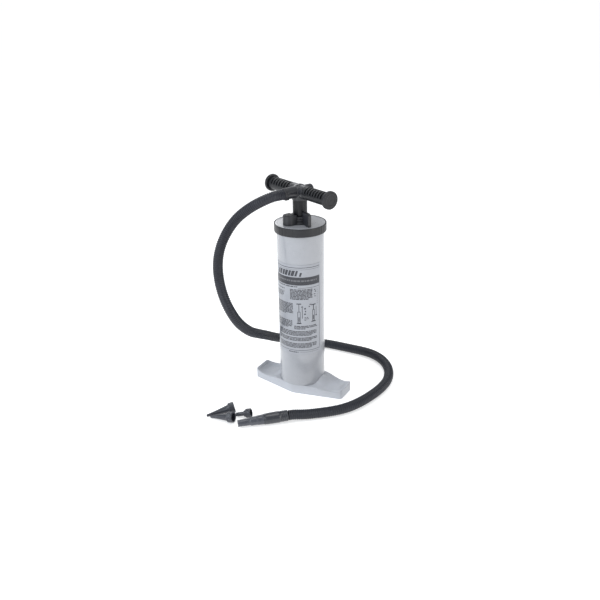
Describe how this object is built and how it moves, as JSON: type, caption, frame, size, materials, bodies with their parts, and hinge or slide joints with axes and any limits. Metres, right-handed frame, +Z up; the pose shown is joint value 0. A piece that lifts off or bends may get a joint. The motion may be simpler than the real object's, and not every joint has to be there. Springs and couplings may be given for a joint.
{
  "type": "double-action hand pump",
  "caption": "Foot-held hand pump with a straight barrel, T-handle on a hollow rod, corrugated hose and loose nozzles.",
  "frame": {"origin": "on the floor, under the centre of the barrel", "axes": "+Z up along the barrel axis; X runs along the foot's two wings, +X on the right seen from the front; the hose port faces the -Y side"},
  "size_m": [0.3127, 0.4026, 0.4448],
  "materials": {
    "grey_moulding": "satin moulded ABS, light grey",
    "grey_barrel": "satin extruded ABS tube, light grey",
    "label_film": "printed film, grey ground with dark grey blocks",
    "cap_grey": "glossy grey moulding",
    "black_moulding": "charcoal moulded plastic, satin",
    "grip_black": "charcoal ribbed grip sleeve",
    "rod_black": "smooth charcoal tube, satin gloss",
    "hose_black": "fine-pitch corrugated flexible hose, dark grey",
    "seal_rubber": "black nitrile",
    "flap_rubber": "thin elastomer sheet",
    "piston_plastic": "dark moulded plastic",
    "bush_plastic": "natural acetal",
    "duct_plastic": "thin-walled plastic tube",
    "screw_steel": "zinc plated"
  },
  "bodies": {
    "barrel": {"foot": "grey_moulding", "barrel_tube": "grey_barrel", "barrel_label": "label_film", "base_seal": "seal_rubber", "cap_gasket": "seal_rubber", "end_cap": "cap_grey", "cap_collar": "black_moulding", "rod_guide": "black_moulding", "rod_bush": "bush_plastic", "rod_seal": "seal_rubber", "seal_retainer": "black_moulding", "hose": "hose_black", "hose_sleeve": "hose_black", "hose_tip": "black_moulding"},
    "piston_seal": {"piston_ring": "seal_rubber"},
    "rod": {"piston_upper": "piston_plastic", "piston_lower": "piston_plastic", "valve_box": "piston_plastic", "piston_screw_1": "screw_steel", "piston_screw_2": "screw_steel", "piston_screw_3": "screw_steel", "piston_screw_4": "screw_steel", "rod_tube": "rod_black", "inner_tube": "duct_plastic", "handle_hub": "black_moulding", "grip_right": "grip_black", "grip_left": "grip_black", "grip_cap_right": "black_moulding", "grip_cap_left": "black_moulding"},
    "intake_valve_upper": {"intake_flap_upper": "flap_rubber"},
    "intake_valve_lower": {"intake_flap_lower": "flap_rubber"},
    "exhaust_valve_upper": {"exhaust_flap_upper": "flap_rubber"},
    "exhaust_valve_lower": {"exhaust_flap_lower": "flap_rubber"},
    "cuff": {"hose_cuff": "black_moulding", "cuff_seal": "seal_rubber"},
    "nozzle_long_body": {"nozzle_long": "black_moulding"},
    "nozzle_short_body": {"nozzle_short": "black_moulding"},
    "nozzle_valve_body": {"nozzle_valve": "black_moulding"}
  },
  "joints": [
    {"name": "pump_stroke", "type": "slide", "parent": "barrel", "child": "piston_seal", "axis": [0, 0, 1], "range_m": [0, 0.275], "deforming": ["hose"]},
    {"name": "handle_turn", "type": "hinge", "parent": "piston_seal", "child": "rod", "pos_m": [0, 0, 0.4275], "axis": [0, 0, 1], "range_deg": [-45, 45], "deforming": ["hose"]},
    {"name": "intake_upper_lift", "type": "slide", "parent": "rod", "child": "intake_valve_upper", "axis": [0, 0, 1], "range_m": [0, 0.002]},
    {"name": "intake_lower_lift", "type": "slide", "parent": "rod", "child": "intake_valve_lower", "axis": [0, 0, -1], "range_m": [0, 0.002]},
    {"name": "exhaust_upper_lift", "type": "slide", "parent": "rod", "child": "exhaust_valve_upper", "axis": [0, 0, -1], "range_m": [0, 0.002]},
    {"name": "exhaust_lower_lift", "type": "slide", "parent": "rod", "child": "exhaust_valve_lower", "axis": [0, 0, 1], "range_m": [0, 0.002]},
    {"name": "cuff_twist", "type": "hinge", "parent": "rod", "child": "cuff", "pos_m": [0, 0, 0.4275], "axis": [-0.3843, -0.9232, 0], "range_deg": [0, 45]},
    {"name": "nozzle_long_lift", "type": "slide", "parent": "barrel", "child": "nozzle_long_body", "axis": [0, 0, 1], "range_m": [0, 0.06]},
    {"name": "nozzle_short_lift", "type": "slide", "parent": "barrel", "child": "nozzle_short_body", "axis": [0, 0, 1], "range_m": [0, 0.06]},
    {"name": "nozzle_valve_lift", "type": "slide", "parent": "barrel", "child": "nozzle_valve_body", "axis": [0, 0, 1], "range_m": [0, 0.06]}
  ]
}
